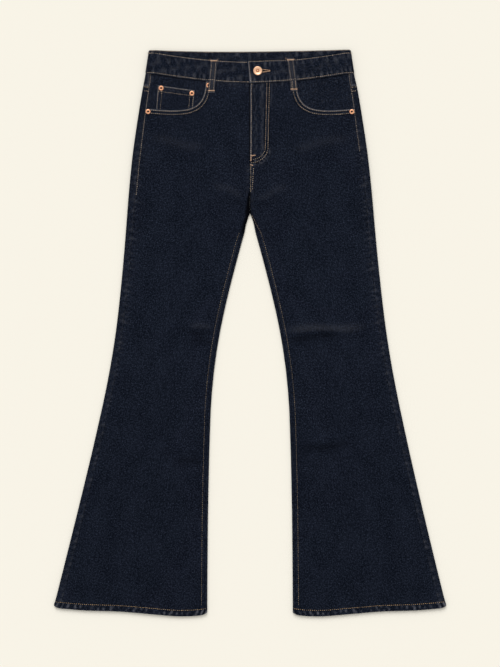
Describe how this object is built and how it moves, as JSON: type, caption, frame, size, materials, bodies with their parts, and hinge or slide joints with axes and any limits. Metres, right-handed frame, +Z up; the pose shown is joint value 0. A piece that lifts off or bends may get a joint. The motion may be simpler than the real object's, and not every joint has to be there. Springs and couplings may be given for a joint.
{
  "type": "flared jeans",
  "caption": "Flared five-pocket denim jeans laid flat on their back, with a buttoned waistband, scooped front pockets, fly, yoke, back pockets and wide hemmed legs.",
  "frame": {"origin": "on the surface that the garment lies on, under the middle of its bounding box", "axes": "+X towards the wearer's left, +Y from the hems to the waist, +Z up out of the garment's front"},
  "size_m": [0.745, 1.0764, 0.0119],
  "materials": {
    "indigo_denim": "dark rinsed indigo twill denim",
    "zip_tape": "woven navy zip tape",
    "copper": "polished rose copper plating"
  },
  "bodies": {
    "root": {"front_right": "indigo_denim", "front_left": "indigo_denim", "back_right": "indigo_denim", "back_left": "indigo_denim", "yoke_right": "indigo_denim", "yoke_left": "indigo_denim", "waistband": "indigo_denim", "pocket_facing_right": "indigo_denim", "pocket_facing_left": "indigo_denim", "coin_pocket": "indigo_denim", "fly_facing": "indigo_denim", "fly_zip": "zip_tape", "back_pocket_right": "indigo_denim", "back_pocket_left": "indigo_denim", "belt_loop_front_right": "indigo_denim", "belt_loop_front_left": "indigo_denim", "belt_loop_back_right": "indigo_denim", "belt_loop_back_centre": "indigo_denim", "belt_loop_back_left": "indigo_denim", "button": "copper", "rivet_coin_outer": "copper", "rivet_coin_inner": "copper", "rivet_pocket_right_outer": "copper", "rivet_pocket_right_inner": "copper", "rivet_pocket_left_outer": "copper", "rivet_pocket_left_inner": "copper"}
  },
  "joints": []
}
